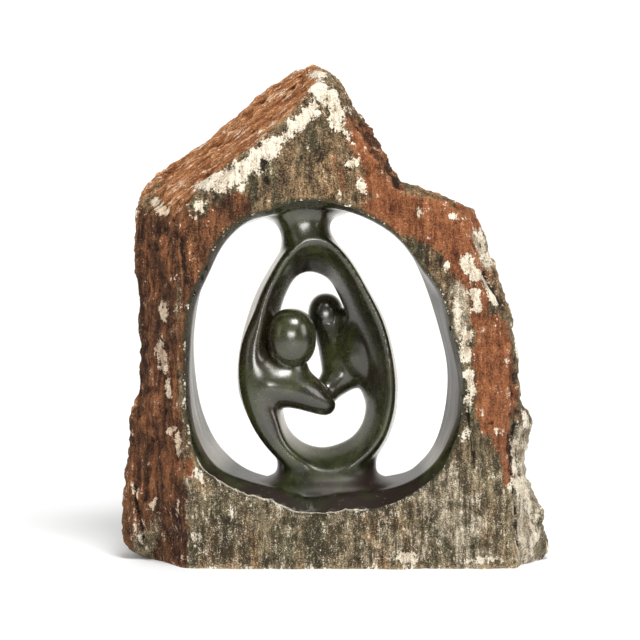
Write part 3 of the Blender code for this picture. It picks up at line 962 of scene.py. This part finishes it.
    def mark(self, piece: bpy.types.Object, cracks: tuple[Streak, ...]) -> None:
        """Write the zones onto the piece as values of its points.

        Args:
            piece: the finished stone.
            cracks: the cracks in its skin, which are dark as well.
        """
        mesh = piece.data
        points, normals = (vectors(mesh.vertices, name) for name in ("co", "normal"))
        edges = np.empty(len(mesh.edges) * 2, np.int32)
        mesh.edges.foreach_get("vertices", edges)
        edges = edges.reshape(-1, 2)
        broad = self.spread(normals, edges, self.normal_smoothing)
        broad /= np.maximum(np.linalg.norm(broad, axis=1), TINY)[:, None]
        sideways, upwards = np.abs(broad[:, 0]), broad[:, 2]
        front = np.clip(0.5 - points[:, 1] / self.fade, 0.0, 1.0)
        left = np.clip(-points[:, 0] / self.fade, 0.0, 1.0)
        flank = ramp(sideways, self.flank_from, 4.0) * np.clip(1.6 - upwards * 4, 0.0, 1.0)
        slope = ramp(broad[:, 0] * SLOPE_FACING[0] + upwards * SLOPE_FACING[1], self.slope_from, 4.0)
        near, wall = self.rim_nearness(piece, points)
        for name, lines, share in (("pale", self.pale, front), ("rust", self.rust, front),
                                   ("grey", self.grey, front), ("dark", self.dark + cracks, front),
                                   ("bruise", self.bruise, front * near)):
            self.write(mesh, name, most_cover(lines, points, self.height) * share)
        flank = np.where(front > 0.3, flank * left, flank * (0.4 + 0.6 * left))
        self.write(mesh, "flank", np.maximum(flank, most_cover(self.brown, points, self.height) * front))
        self.write(mesh, "slope", slope)
        self.write(mesh, "rim", near)
        self.write(mesh, "wall", wall * ramp(sideways, self.wall_from, 3.0))
        self.write(mesh, "hollow", np.clip(self.hollows(points, normals, edges), -1.0, 1.0))

    @staticmethod
    def write(mesh: bpy.types.Mesh, name: str, values: np.ndarray) -> None:
        """Keep one value for each of the mesh's points under a name."""
        attribute = mesh.attributes.new(name, "FLOAT", "POINT")
        attribute.data.foreach_set("value", values.astype(np.float32))

    def rim_nearness(self, piece: bpy.types.Object, points: np.ndarray) -> tuple[np.ndarray, np.ndarray]:
        """How near each point lies to the line between rough and polished stone.

        Args:
            piece: the finished stone.
            points: the places of its points.

        Returns:
            The nearness in space, and the nearness as seen from the front, each from 0 to 1.
        """
        bm = bmesh.new()
        bm.from_mesh(piece.data)
        bm.verts.ensure_lookup_table()
        line = [vert.index for vert in bm.verts
                if len({face.material_index for face in vert.link_faces}) > 1]
        bm.free()
        found = []
        for places, reach in ((points, self.rim_reach), (points * (1.0, 0.0, 1.0), self.wall_reach)):
            tree = KDTree(len(line))
            for number in line:
                tree.insert(places[number], number)
            tree.balance()
            found.append(np.array([max(0.0, 1.0 - tree.find(place)[2] / reach) for place in places]))
        return found[0], np.clip(found[1] * self.wall_fullness, 0.0, 1.0)


# Shader maths


class Value:
    """A shader socket that takes part in arithmetic."""

    def __init__(self, graph: Graph, socket: bpy.types.NodeSocket) -> None:
        """Keep the socket and the graph that it belongs to."""
        self.graph = graph
        self.socket = socket

    def maths(self, operation: str, first: object, second: object = 0.0, clamp: bool = False) -> Value:
        """Add one Math node.

        Args:
            operation: the node's operation.
            first: its first value, a number or another Value.
            second: its second value.
            clamp: whether the result stays between 0 and 1.

        Returns:
            The result.
        """
        node = self.graph.add("ShaderNodeMath", {"operation": operation, "use_clamp": clamp},
                              {0: first, 1: second})
        return Value(self.graph, node.outputs[0])

    def __add__(self, other: object) -> Value:
        """Sum."""
        return self.maths("ADD", self, other)

    __radd__ = __add__

    def __sub__(self, other: object) -> Value:
        """Difference."""
        return self.maths("SUBTRACT", self, other)

    def __rsub__(self, other: object) -> Value:
        """Difference from a number."""
        return self.maths("SUBTRACT", other, self)

    def __mul__(self, other: object) -> Value:
        """Product."""
        return self.maths("MULTIPLY", self, other)

    __rmul__ = __mul__

    def clamped(self) -> Value:
        """The value held between 0 and 1."""
        return self.maths("ADD", self, 0.0, clamp=True)

    def largest(self, other: Value) -> Value:
        """The larger of two values."""
        return self.maths("MAXIMUM", self, other)

    def above(self, level: float, softness: float) -> Value:
        """A mask that rises from 0 to 1 round a level.

        Args:
            level: where the mask is a half.
            softness: how wide the rise is.

        Returns:
            The mask.
        """
        return self.maths("ADD", (self - level) * (1.0 / softness), 0.5, clamp=True)


class Graph:
    """One material's node tree.

    A relief step is a length in metres, and the other values are those of the stone and of its wax.
    """

    relief_step = 0.0015
    stone_ior = 1.5
    coat_ior = 1.6
    coat_roughness = 0.21

    def __init__(self, name: str) -> None:
        """Start an empty material.

        Args:
            name: the material's name.
        """
        self.material = bpy.data.materials.new(name)
        self.material.use_nodes = True
        self.nodes = self.material.node_tree.nodes
        self.links = self.material.node_tree.links
        self.nodes.clear()
        self.spot = self.add("ShaderNodeTexCoord").outputs["Object"]

    def add(self, kind: str, settings: dict | None = None, sockets: dict | None = None) -> bpy.types.Node:
        """Add one node.

        Args:
            kind: the node's type.
            settings: its properties, which are set first.
            sockets: numbers, colours or links for its inputs.

        Returns:
            The node.
        """
        node = self.nodes.new(kind)
        for key, value in (settings or {}).items():
            setattr(node, key, value)
        for key, value in (sockets or {}).items():
            value = value.socket if isinstance(value, Value) else value
            if isinstance(value, bpy.types.NodeSocket):
                self.links.new(value, node.inputs[key])
            else:
                node.inputs[key].default_value = value
        return node

    def stretched(self, scale: Triple, turn: Triple = (0.0, 0.0, 0.0)) -> bpy.types.NodeSocket:
        """The place on the stone, turned and then stretched.

        Args:
            scale: how much it is stretched along each axis.
            turn: how far it is turned round each axis, in degrees.

        Returns:
            The place's socket.
        """
        turned = self.add("ShaderNodeMapping", {"vector_type": "POINT"},
                          {"Vector": self.spot, "Rotation": tuple(math.radians(angle) for angle in turn)})
        node = self.add("ShaderNodeMapping", {"vector_type": "POINT"},
                        {"Vector": turned.outputs[0], "Scale": scale})
        return node.outputs[0]

    def noise(self, scale: float, detail: float = 4.0, rough: float = 0.55,
              spot: bpy.types.NodeSocket | None = None, warp: float = 0.0) -> Value:
        """Soft noise from 0 to 1.

        Args:
            scale: how many blobs there are in a metre.
            detail: how many finer layers it has.
            rough: how strong the finer layers are.
            spot: the place that it reads, or the stone's own.
            warp: how much it is distorted.

        Returns:
            The noise.
        """
        node = self.add("ShaderNodeTexNoise", None, {
            "Vector": spot or self.spot, "Scale": scale, "Detail": detail, "Roughness": rough,
            "Distortion": warp})
        return Value(self, node.outputs["Fac"])

    def cells(self, scale: float) -> Value:
        """The distance to scattered points, in cells."""
        node = self.add("ShaderNodeTexVoronoi", None, {"Vector": self.spot, "Scale": scale})
        return Value(self, node.outputs["Distance"])

    def zone(self, name: str) -> Value:
        """A value that is kept on the mesh's points."""
        return Value(self, self.add("ShaderNodeAttribute", {"attribute_name": name}).outputs["Fac"])

    def mix(self, amount: object, first: object, second: object) -> bpy.types.NodeSocket:
        """Mix two colours.

        Args:
            amount: how much of the second there is.
            first: the first colour.
            second: the second colour.

        Returns:
            The mixed colour.
        """
        node = self.add("ShaderNodeMix", {"data_type": "RGBA"}, {0: amount, 6: first, 7: second})
        return node.outputs[2]

    def axis(self, name: str) -> Value:
        """The place on the stone along one axis, in metres."""
        return Value(self, self.add("ShaderNodeSeparateXYZ", None, {0: self.spot}).outputs[name])

    def surface(self, colour: object, roughness: object, height: Value, bump: float, coat: object = 0.0,
                shine: float = 0.5, tint: Colour = (1.0, 1.0, 1.0, 1.0)) -> bpy.types.Material:
        """Finish the material with its one shader.

        Args:
            colour: the base colour.
            roughness: the roughness.
            height: the height of the fine relief, in relief steps.
            bump: how strongly the fine relief shows.
            coat: the weight of the wax coat.
            shine: how much the stone below the coat mirrors.
            tint: the colour of what it mirrors.

        Returns:
            The material.
        """
        relief = self.add("ShaderNodeBump", None, {
            "Strength": bump, "Distance": self.relief_step, "Height": height})
        shader = self.add("ShaderNodeBsdfPrincipled", None, {
            "Base Color": colour, "Roughness": roughness, "Metallic": 0.0, "IOR": self.stone_ior,
            "Specular IOR Level": shine, "Specular Tint": tint, "Coat Weight": coat,
            "Coat Roughness": self.coat_roughness, "Coat IOR": self.coat_ior, "Coat Tint": tint,
            "Normal": relief.outputs[0]})
        self.add("ShaderNodeOutputMaterial", None, {"Surface": shader.outputs[0]})
        return self.material


@dataclass(frozen=True)
class Shades:
    """The darkest and the lightest tone of one kind of stone."""

    dark: Colour
    light: Colour

    def at(self, graph: Graph, tone: Value) -> bpy.types.NodeSocket:
        """The colour at a tone from 0 to 1."""
        return graph.mix(tone.clamped(), self.dark, self.light)


@dataclass(frozen=True)
class RoughSkin:
    """The natural skin: olive, brown and rusty stone with streaks, cream crust and painted shade in its
    hollows.
    """

    olive: Shades = Shades((0.032, 0.020, 0.010, 1.0), (0.370, 0.245, 0.130, 1.0))
    moss: Shades = Shades((0.048, 0.036, 0.019, 1.0), (0.420, 0.325, 0.190, 1.0))
    tan: Shades = Shades((0.050, 0.026, 0.011, 1.0), (0.520, 0.330, 0.165, 1.0))
    green: Shades = Shades((0.030, 0.026, 0.013, 1.0), (0.250, 0.225, 0.125, 1.0))
    brown: Shades = Shades((0.032, 0.012, 0.006, 1.0), (0.260, 0.110, 0.044, 1.0))
    rust: Shades = Shades((0.095, 0.026, 0.009, 1.0), (0.450, 0.175, 0.070, 1.0))
    ochre: Shades = Shades((0.280, 0.085, 0.022, 1.0), (0.900, 0.450, 0.190, 1.0))
    grey: Shades = Shades((0.190, 0.150, 0.090, 1.0), (0.900, 0.780, 0.600, 1.0))
    cream: Shades = Shades((0.400, 0.285, 0.175, 1.0), (0.950, 0.870, 0.710, 1.0))
    edge: Colour = (0.030, 0.030, 0.014, 1.0)
    # Painted shade for the hollows and crevices; the dark stains, the cracks and random dark spots take
    # this colour too.
    shade: Colour = (0.018, 0.011, 0.007, 1.0)
    foot_top: float = 0.078
    roughness: float = 0.80
    shine: float = 0.25

    def material(self) -> bpy.types.Material:
        """Build the finish.

        Returns:
            The material.
        """
        graph = Graph("rough_skin")
        pale, rust, grey, dark, bruise, flank, slope, rim, hollow = (graph.zone(name) for name in (
            "pale", "rust", "grey", "dark", "bruise", "flank", "slope", "rim", "hollow"))
        blotch = graph.noise(34, 5, 0.62) - 0.5
        clumps = graph.noise(120, 5, 0.70) - 0.5
        grit = graph.noise(360, 4, 0.72) - 0.5
        speck = graph.noise(900, 4, 0.78) - 0.5
        dust = graph.noise(1500, 3, 0.75) - 0.5
        upright = graph.noise(330, 4, 0.70, graph.stretched((1.0, 1.0, 0.14))) - 0.5
        scratch = graph.noise(620, 3, 0.70, graph.stretched((1.0, 1.0, 0.09), (0.0, 4.0, 0.0))) - 0.5
        drips = graph.noise(95, 4, 0.66, graph.stretched((1.0, 1.0, 0.20))) - 0.5
        slanted = graph.noise(420, 4, 0.74, graph.stretched((0.09, 1.0, 1.0), (0.0, 36.0, 0.0))) - 0.5
        grain = upright + (slanted * 1.4 - upright) * slope
        # Painted shade and light: the tone is darker in crevices and lighter on ridges.
        tone = speck * 3.3 + grit * 1.3 + clumps * 0.5 + grain * 2.7 + dust * 3.0 - hollow * 1.1
        tone = tone + blotch * 0.9 + drips * 0.7 + 0.28
        low = (self.foot_top - graph.axis("Z") + blotch * 0.08 - flank * 0.04).above(0.0, 0.012)
        browned = (flank * 1.15 + clumps * 0.7 + drips * 1.0).above(0.45, 0.30)
        reddened = (drips * 2.2 + upright * 0.8 + clumps * 0.7 + flank * 0.36 - low * 0.6).above(0.48, 0.24)
        rusted = (rust + slope * 0.90 + clumps * 1.1 + blotch * 0.9 + grain * 0.8).above(0.50, 0.22)
        greyed = (grey * 1.1 + clumps * 0.9 + upright * 0.9).above(0.46, 0.50)
        colour = graph.mix(low, self.olive.at(graph, tone), self.moss.at(graph, tone))
        panels = graph.noise(46, 4, 0.62, graph.stretched((1.0, 1.0, 0.34)), 0.4)
        tanned = (panels + drips * 0.3).above(0.60, 0.10) * 0.75
        colour = graph.mix(tanned, colour, self.tan.at(graph, tone))
        greened = (0.43 - panels - drips * 0.3).above(0.0, 0.08) * 0.85
        colour = graph.mix(greened, colour, self.green.at(graph, tone))
        colour = graph.mix(browned, colour, self.brown.at(graph, tone + drips))
        colour = graph.mix(rusted.largest(reddened * 0.75), colour, self.rust.at(graph, tone * 0.75 + 0.11))
        yellowed = slope * (0.6 + slanted * 2.0 + blotch).clamped()
        colour = graph.mix(yellowed, colour, self.ochre.at(graph, tone))
        colour = graph.mix(greyed, colour, self.grey.at(graph, tone))
        colour = graph.mix((rim * 1.2 + clumps * 1.5).above(0.75, 0.40) * 0.85, colour, self.edge)
        # The crust thins out in the hollows, which darkens them further as painted shade.
        crust = (pale + clumps * 2.4 + grit * 1.5 + speck * 1.2 + grain * 1.2
                 - hollow * 0.7).above(0.55, 0.12)
        wisps = (slanted * 2.6 + clumps * 1.2 + grit * 0.9 + blotch * 1.4).above(0.32, 0.16) * slope * 0.75
        scatter = (dust * 2.2 + speck * 2.2 + grit * 1.3 + upright * 1.3 + clumps * 0.9 + low * 0.20
                   - flank * 0.20 - rusted * 0.16).above(0.62, 0.06)
        scored = (scratch * 2.4 + clumps * 1.3 + grit * 0.7 + low * 0.20).above(0.56, 0.08) * low
        whitened = crust.largest(wisps).largest(scatter * 0.9).largest(scored * 0.7)
        whitened = whitened.largest(bruise.above(0.80, 0.20) * 0.7)
        crusted = graph.mix(flank * 0.25, self.cream.at(graph, tone * 0.9 + 0.27),
                            self.ochre.at(graph, tone + 0.40))
        colour = graph.mix(whitened, colour, crusted)
        # Painted shade in the hollows, together with the dark stains, the cracks and random dark spots.
        pits = (hollow * 1.2 + dark * 0.7 - grain * 1.6 - clumps * 0.6 - grit * 1.2 - speck * 1.6
                - low * 0.14).above(0.56, 0.16)
        colour = graph.mix((pits * 0.9).clamped(), colour, self.shade)
        height = grain * 1.5 + clumps * 1.8 + grit * 1.5 + speck * 1.1 + whitened * 0.20 - pits * 0.5
        return graph.surface(colour, self.roughness - rim * 0.2, height, 1.0, shine=self.shine)


@dataclass(frozen=True)
class PolishedStone:
    """The waxed green-black stone with its mottling and its pale specks."""

    tones: Shades = Shades((0.003, 0.004, 0.002, 1.0), (0.046, 0.055, 0.017, 1.0))
    plum: Colour = (0.013, 0.007, 0.006, 1.0)
    sheen: Colour = (1.000, 0.950, 0.860, 1.0)
    fleck: Colour = (0.300, 0.290, 0.200, 1.0)
    # Painted reflection: a pale warm brown laid on the opening's side walls, standing in for their warm
    # reflection.
    wear_and_painted_reflection: Colour = (0.090, 0.068, 0.052, 1.0)
    sill_top: float = 0.073
    roughness: float = 0.27
    relief: float = 0.35
    shine: float = 0.30

    def material(self) -> bpy.types.Material:
        """Build the finish.

        Returns:
            The material.
        """
        graph = Graph("polished_stone")
        cloud = graph.noise(24, 5, 0.6, warp=0.4) - 0.5
        mottle = graph.noise(150, 5, 0.65) - 0.5
        fine = graph.noise(900, 3, 0.6) - 0.5
        veins = graph.noise(90, 4, 0.6, graph.stretched((1.0, 1.0, 0.25))) - 0.5
        colour = self.tones.at(graph, cloud * 1.8 + mottle * 1.1 + fine * 0.7 + veins * 0.8 + 0.34)
        sill = (self.sill_top - graph.axis("Z")).above(0.0, 0.016)
        plum = (graph.noise(18, 3, 0.5) + sill * 0.12).above(0.56, 0.10)
        colour = graph.mix(plum * (sill * 0.2 + 0.7), colour, self.plum)
        dots = (1.0 - graph.cells(420)).above(0.88, 0.05) * graph.noise(60, 2, 0.5).above(0.52, 0.12)
        scratches = graph.noise(500, 2, 0.5, graph.stretched((1.0, 0.3, 0.06), (0.0, 12.0, 0.0)))
        colour = graph.mix((dots * 0.6).clamped(), colour, self.fleck)
        colour = graph.mix(scratches.above(0.74, 0.05) * 0.15, colour, self.fleck)
        height = mottle * 0.05 + fine * 0.02 + scratches * 0.02
        # Painted reflection: the side walls take the warm brown in streaky bands; they are rougher there as
        # well.
        wall = (graph.zone("wall") - graph.zone("rim") * 1.5).clamped()
        bands = graph.noise(130, 5, 0.65, graph.stretched((0.4, 1.0, 0.12))) - 0.5
        colour = graph.mix(wall * (bands * 2.0 + 0.8).clamped(), colour, self.wear_and_painted_reflection)
        wear = graph.axis("X").above(0.0, 0.06) * 0.11 + bands * 0.60 + 0.04
        roughness = self.roughness + mottle * 0.16 + wall * wear + sill * (1.0 - wall) * 0.12
        coat = (1.0 - wall) * (1.0 - sill)
        return graph.surface(colour, roughness, height, self.relief, coat, self.shine, self.sheen)


# The whole stone


@dataclass
class Sculpture:
    """The finished stone in one piece."""

    block: RoughBlock = field(default_factory=RoughBlock)
    figures: Figures = field(default_factory=lambda: Figures(Opening()))
    zones: SkinZones = field(default_factory=SkinZones)
    centring: Triple = (0.00064, -0.00028, 0.0)
    crease: float = 55.0

    def build(self) -> bpy.types.Object:
        """Carve the block, and let the piece stand in for the solid.

        Returns:
            The piece.
        """
        stone = self.block.build()
        log.info("rough block: %d faces", len(stone.data.polygons))
        finishes = (RoughSkin().material(), PolishedStone().material())
        self.finish(stone, finishes)
        space = self.figures.space()
        log.info("carved space: %d faces", len(space.data.polygons))
        self.finish(space, finishes)
        stone = combine(stone, space, Joining.CUT)
        for number, head in enumerate(self.figures.heads):
            made = head.build(f"head_{number}", self.figures.opening, self.figures.depth)
            self.finish(made, finishes)
            stone = combine(stone, made, Joining.JOIN)
        stone.data.transform(Matrix.Translation(self.centring))
        return self.dress(stone)

    @staticmethod
    def finish(obj: bpy.types.Object, finishes: tuple[bpy.types.Material, ...]) -> None:
        """Give a mesh both finishes, in the order of Skin."""
        for finish in finishes:
            obj.data.materials.append(finish)

    def dress(self, stone: bpy.types.Object) -> bpy.types.Object:
        """Shade the stone, mark its colour zones and hang it in the frame.

        Args:
            stone: the carved mesh.

        Returns:
            The same piece.
        """
        stone.name = "carved_stone"
        stone.data.shade_smooth()
        stone.data.set_sharp_from_angle(angle=math.radians(self.crease))
        self.zones.mark(stone, self.block.cracks)
        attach(stone, "root")
        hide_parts("sculpture")
        log.info("carved stone: %d faces", len(stone.data.polygons))
        return stone


# The studio


@dataclass(frozen=True)
class Softbox:
    """One soft studio lamp: its place and size in metres, its power in watts, and where it points."""

    name: str
    place: Triple
    size: Pair
    power: float
    target: Triple = (0.0, 0.0, 0.17)
    mirrored: bool = True

    def hang(self) -> None:
        """Add the lamp to the scene."""
        lamp = bpy.data.lights.new(self.name, "AREA")
        lamp.shape = "RECTANGLE"
        lamp.size, lamp.size_y = self.size
        lamp.energy = self.power
        obj = bpy.data.objects.new(self.name, lamp)
        obj.location = self.place
        obj.visible_glossy = self.mirrored
        obj.rotation_euler = (Vector(self.target) - Vector(self.place)).to_track_quat("-Z", "Y").to_euler()
        bpy.context.scene.collection.objects.link(obj)


@dataclass
class Studio:
    """The pale floor, the soft light and the camera."""

    floor_size: float = 5.0
    floor_colour: Colour = (0.87, 0.88, 0.89, 1.0)
    room_colour: Colour = (1.0, 0.975, 0.935, 1.0)
    front_light: float = 0.24
    back_light: float = 1.11
    light_rise: Pair = (0.5, 0.92)
    camera_place: Triple = (-0.0101, -1.0883, 0.1743)
    camera_angle: Triple = (90.0, 0.0, 0.0)
    camera_lens: float = 83.25
    lamps: tuple[Softbox, ...] = (
        Softbox("overhead_softbox", (0.10, -0.66, 1.34), (0.60, 0.40), 9.5, mirrored=False),
        Softbox("window_softbox", (0.22, -0.80, 1.20), (0.42, 0.36), 12.5),
        Softbox("right_softbox", (1.20, -0.80, 0.70), (0.6, 0.8), 6.0),
        Softbox("left_softbox", (-1.20, -1.00, 0.60), (0.4, 0.8), 1.0),
        Softbox("front_softbox", (0.00, -1.50, 0.38), (0.50, 0.26), 6.5),
        Softbox("backdrop_softbox", (0.0, 2.0, 1.2), (4.4, 1.8), 50.0, (0.0, 2.1, 0.0), False),
    )

    def floor(self) -> None:
        """Lay the floor."""
        bm = bmesh.new()
        bmesh.ops.create_grid(bm, x_segments=1, y_segments=1, size=self.floor_size / 2)
        floor = finished(bm, "floor")
        graph = Graph("pale_floor")
        height = graph.noise(40, 2, 0.5) * 0.02
        floor.data.materials.append(graph.surface(self.floor_colour, 0.6, height, 0.1))

    def world(self) -> None:
        """Fill the room with plain pale light, brightest behind the stone."""
        world = bpy.data.worlds.new("studio")
        world.use_nodes = True
        nodes, links = world.node_tree.nodes, world.node_tree.links
        axes = nodes.new("ShaderNodeSeparateXYZ")
        links.new(nodes.new("ShaderNodeTexCoord").outputs["Generated"], axes.inputs[0])
        falloff = nodes.new("ShaderNodeMapRange")
        for name, value in zip(("From Min", "From Max", "To Min", "To Max"),
                               (*self.light_rise, self.front_light, self.back_light)):
            falloff.inputs[name].default_value = value
        links.new(axes.outputs["Y"], falloff.inputs["Value"])
        background = nodes["Background"]
        background.inputs["Color"].default_value = self.room_colour
        links.new(falloff.outputs["Result"], background.inputs["Strength"])
        bpy.context.scene.world = world
        bpy.context.scene.view_settings.view_transform = "Standard"

    def camera(self) -> None:
        """Set up the camera at the photograph's place."""
        data = bpy.data.cameras.new("camera")
        data.lens = self.camera_lens
        data.sensor_width = 36.0
        camera = bpy.data.objects.new("camera", data)
        camera.location = self.camera_place
        camera.rotation_euler = Euler([math.radians(angle) for angle in self.camera_angle])
        bpy.context.scene.collection.objects.link(camera)
        bpy.context.scene.camera = camera

    def build(self) -> None:
        """Set up the whole studio."""
        self.floor()
        self.world()
        self.camera()
        for lamp in self.lamps:
            lamp.hang()


def main() -> None:
    """Build the stone and its studio, and write how large the model is."""
    logging.basicConfig(level=logging.INFO, format="%(message)s")
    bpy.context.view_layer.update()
    Sculpture().build()
    Studio().build()


if __name__ == "__main__":
    main()
